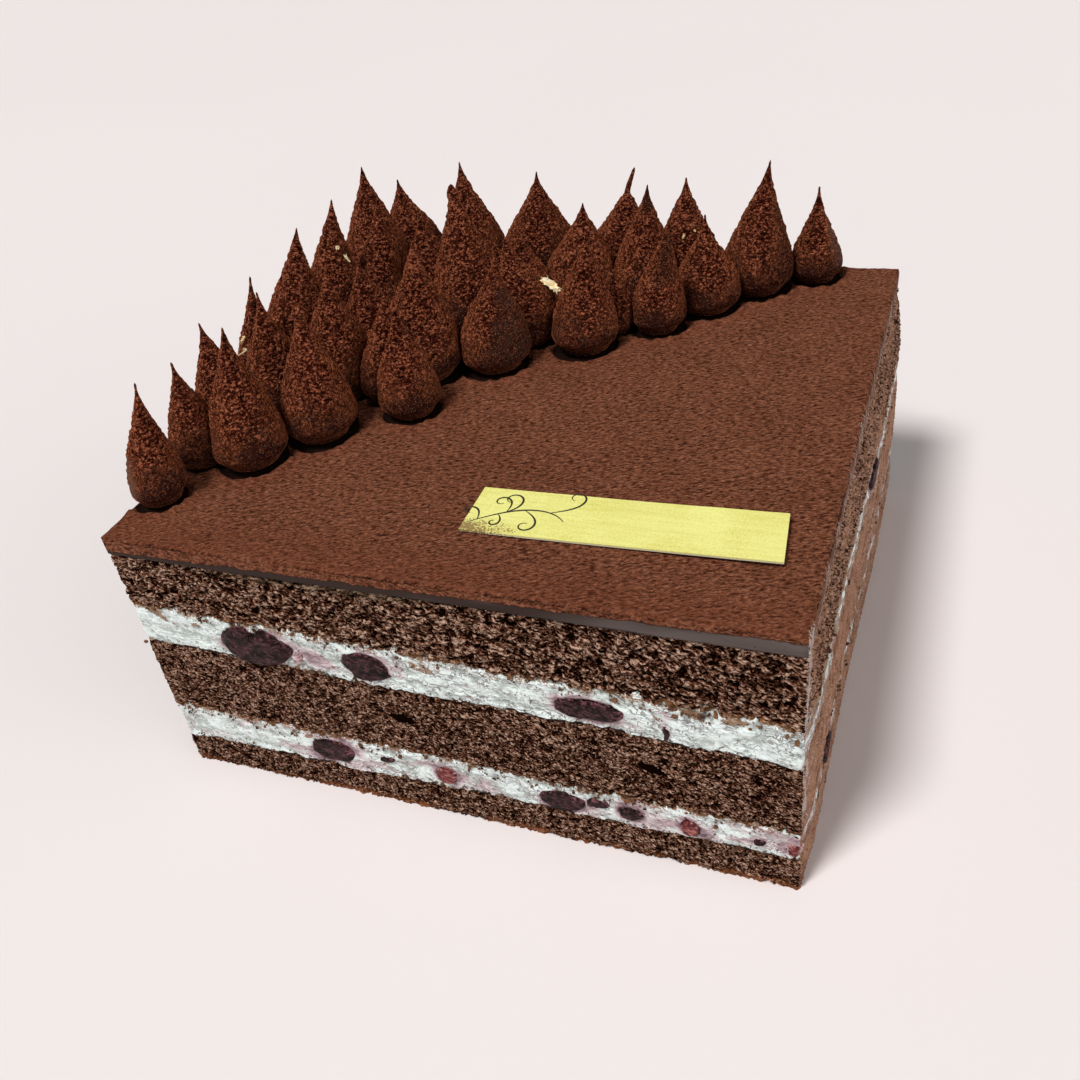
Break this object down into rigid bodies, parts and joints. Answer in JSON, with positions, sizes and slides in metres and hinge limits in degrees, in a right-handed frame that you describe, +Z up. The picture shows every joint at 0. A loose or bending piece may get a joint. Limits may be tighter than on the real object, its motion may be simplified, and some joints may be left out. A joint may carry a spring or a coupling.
{
  "type": "chocolate layer cake",
  "caption": "Square chocolate layer cake with cherry cream, a cocoa-dusted dark glaze, piped chocolate peaks over half of its top and a bare foil plaque.",
  "frame": {"origin": "centre of the flat base", "axes": "+Z up; the front side faces -Y; the bare half of the top, with the plaque, is towards +X and -Y, and the piped half towards -X and +Y"},
  "size_m": [0.15, 0.15, 0.108],
  "materials": {
    "sponge": "matte open crumb",
    "cream": "soft satin, stained near the cherries",
    "cocoa_glaze": "matte cocoa powder over a satin dark glaze",
    "peak_chocolate": "grainy cocoa powder, barer and smoother near the foot",
    "cherry": "moist dark flesh with a red rim",
    "gold_foil": "satin foil on thin card",
    "ornament_ink": "matte dark print",
    "gold_leaf": "crumpled leaf"
  },
  "bodies": {
    "root": {"cherry_back_1": "cherry", "cherry_back_2": "cherry", "cherry_back_3": "cherry", "cherry_back_4": "cherry", "cherry_front_1": "cherry", "cherry_front_2": "cherry", "cherry_front_3": "cherry", "cherry_front_4": "cherry", "cherry_front_5": "cherry", "cherry_front_6": "cherry", "cherry_front_7": "cherry", "cherry_front_8": "cherry", "cherry_left_1": "cherry", "cherry_left_2": "cherry", "cherry_right_1": "cherry", "cherry_right_2": "cherry", "cream_lower": "cream", "cream_upper": "cream", "glaze_top": "cocoa_glaze", "peak_01": "peak_chocolate", "peak_02": "peak_chocolate", "peak_03": "peak_chocolate", "peak_04": "peak_chocolate", "peak_05": "peak_chocolate", "peak_06": "peak_chocolate", "peak_07": "peak_chocolate", "peak_08": "peak_chocolate", "peak_09": "peak_chocolate", "peak_10": "peak_chocolate", "peak_11": "peak_chocolate", "peak_12": "peak_chocolate", "peak_13": "peak_chocolate", "peak_14": "peak_chocolate", "peak_15": "peak_chocolate", "peak_16": "peak_chocolate", "peak_17": "peak_chocolate", "peak_18": "peak_chocolate", "peak_19": "peak_chocolate", "peak_20": "peak_chocolate", "peak_21": "peak_chocolate", "peak_22": "peak_chocolate", "peak_23": "peak_chocolate", "peak_24": "peak_chocolate", "peak_25": "peak_chocolate", "peak_26": "peak_chocolate", "peak_27": "peak_chocolate", "peak_28": "peak_chocolate", "peak_29": "peak_chocolate", "peak_30": "peak_chocolate", "peak_31": "peak_chocolate", "peak_32": "peak_chocolate", "peak_33": "peak_chocolate", "peak_34": "peak_chocolate", "peak_35": "peak_chocolate", "peak_36": "peak_chocolate", "plaque": "gold_foil", "sponge_bottom": "sponge", "sponge_middle": "sponge", "sponge_top": "sponge"}
  },
  "joints": []
}
